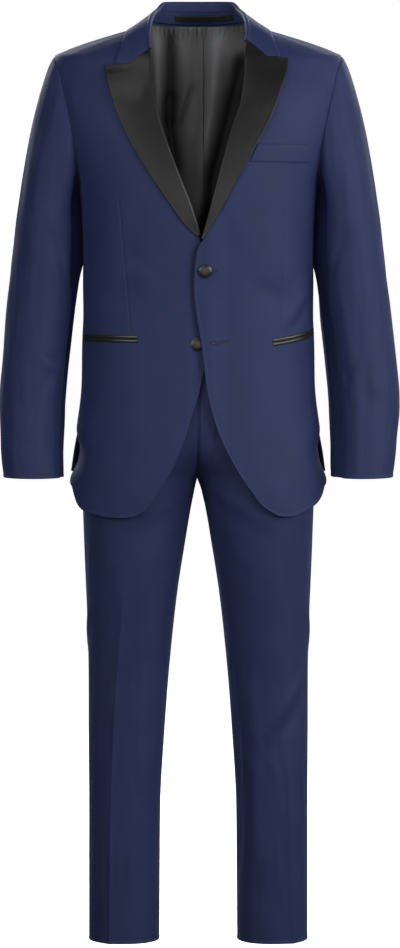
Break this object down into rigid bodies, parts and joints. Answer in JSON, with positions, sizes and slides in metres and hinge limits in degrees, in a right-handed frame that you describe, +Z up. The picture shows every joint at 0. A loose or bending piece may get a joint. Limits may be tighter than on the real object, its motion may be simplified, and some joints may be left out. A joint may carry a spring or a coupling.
{
  "type": "tuxedo",
  "caption": "Navy dinner suit, hollow as worn: jacket with peaked black satin lapels, satin pocket jets and buttons, and trousers with pressed creases.",
  "frame": {"origin": "middle of the neck's base, level with the top of the shoulder line, where the shoulders carry the jacket", "axes": "+Z up as worn, the front faces -Y, +X towards the wearer's left"},
  "size_m": [0.6204, 0.2646, 1.4628],
  "materials": {
    "navy_wool": "matte fine wool twill",
    "navy_wool_trousers": "matte fine wool twill",
    "black_satin": "satin sheen",
    "black_lining": "smooth lining twill"
  },
  "bodies": {
    "root": {"breast_welt": "navy_wool", "button_lower": "black_satin", "button_upper": "black_satin", "collar": "navy_wool", "collar_stand": "navy_wool", "fly": "navy_wool_trousers", "hanger_loop": "black_satin", "jacket_back_left": "navy_wool", "jacket_back_right": "navy_wool", "jacket_front_left": "navy_wool", "jacket_front_right": "navy_wool", "jacket_side_left": "navy_wool", "jacket_side_right": "navy_wool", "jet_lower_left": "black_satin", "jet_lower_right": "black_satin", "jet_upper_left": "black_satin", "jet_upper_right": "black_satin", "lapel_left": "black_satin", "lapel_right": "black_satin", "lining_left": "black_lining", "lining_right": "black_lining", "sleeve_top_left": "navy_wool", "sleeve_top_right": "navy_wool", "sleeve_under_left": "navy_wool", "sleeve_under_right": "navy_wool", "trousers_back_left": "navy_wool_trousers", "trousers_back_right": "navy_wool_trousers", "trousers_front_left": "navy_wool_trousers", "trousers_front_right": "navy_wool_trousers", "waistband_left": "navy_wool_trousers", "waistband_right": "navy_wool_trousers"}
  },
  "joints": []
}
